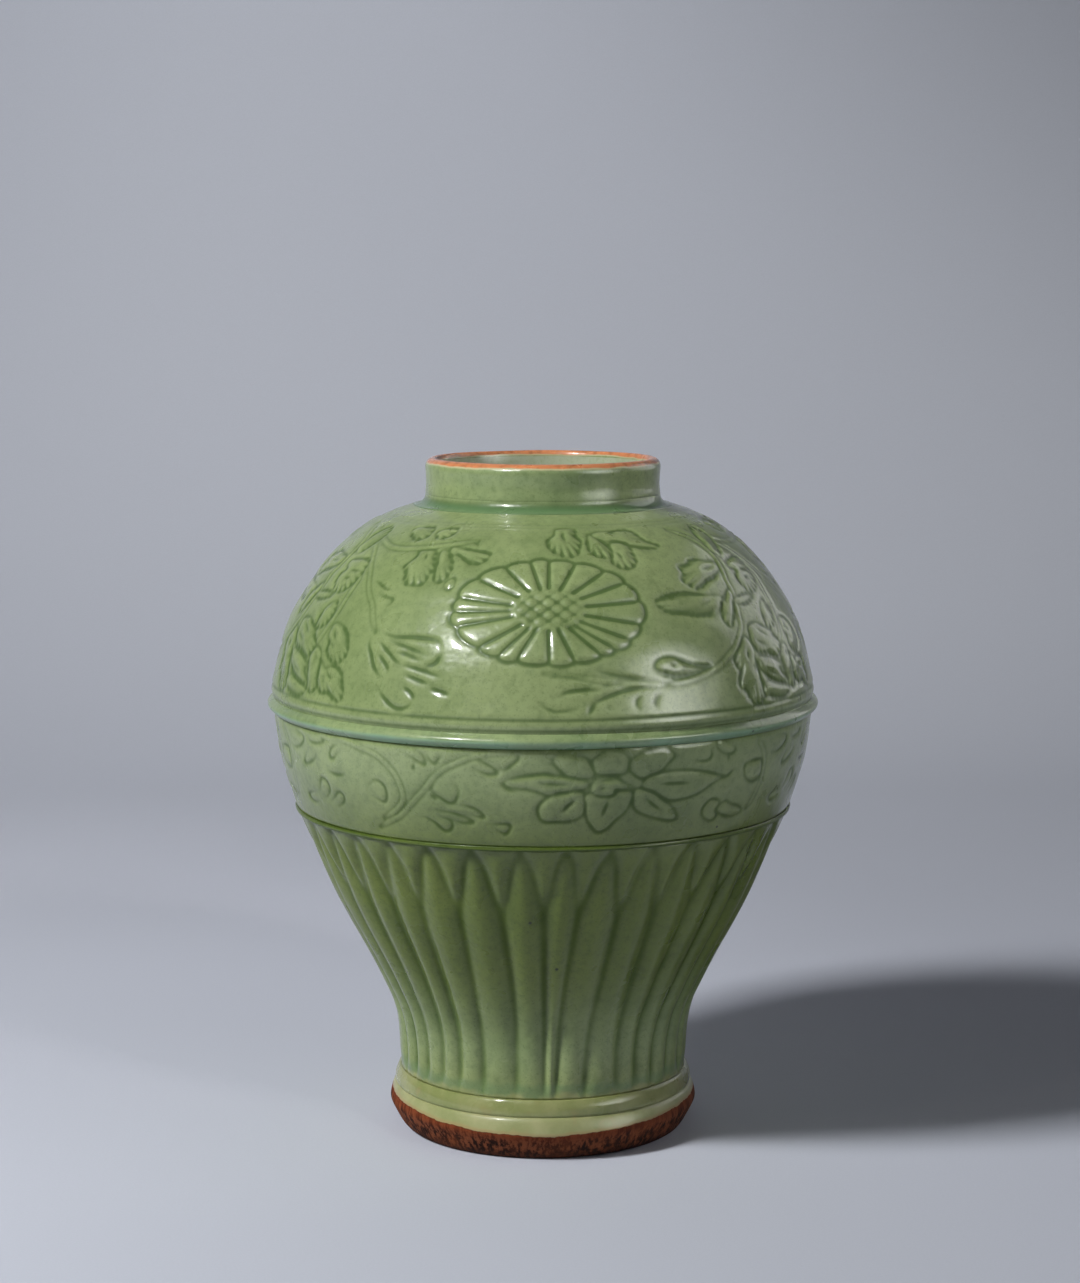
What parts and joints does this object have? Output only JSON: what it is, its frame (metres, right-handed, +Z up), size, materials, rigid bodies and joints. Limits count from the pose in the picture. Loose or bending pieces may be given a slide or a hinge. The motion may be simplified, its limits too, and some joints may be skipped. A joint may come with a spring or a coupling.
{
  "type": "baluster vase",
  "caption": "Carved celadon baluster vase with a short wide neck, a flower scroll on the shoulder, a ridge at the girdle, upright petals below and a bare flared foot.",
  "frame": {"origin": "centre of the standing face, on the surface that the vase stands on", "axes": "+Z up along the axis that the vase was thrown on, -Y towards the front of the picture, +X to its right"},
  "size_m": [0.2688, 0.2688, 0.33],
  "materials": {
    "celadon_glaze": "satin gloss, grey-green over carved clay, deeper in the cuts",
    "ridge_glaze": "satin gloss, bluish green where the glaze lies thick",
    "inside_glaze": "satin gloss, pale grey-green",
    "foot_clay": "bare clay burnt red-brown, matt, glazed above its widest line"
  },
  "bodies": {
    "root": {"foot_ring": "foot_clay", "base_dish": "inside_glaze", "base_glaze_seal": "inside_glaze", "foot_bead": "celadon_glaze", "petal_wall": "celadon_glaze", "waist_string": "ridge_glaze", "belly_band": "celadon_glaze", "girdle_coil": "ridge_glaze", "shoulder_dome": "celadon_glaze", "neck_fillet": "ridge_glaze", "neck_collar": "ridge_glaze"}
  },
  "joints": []
}
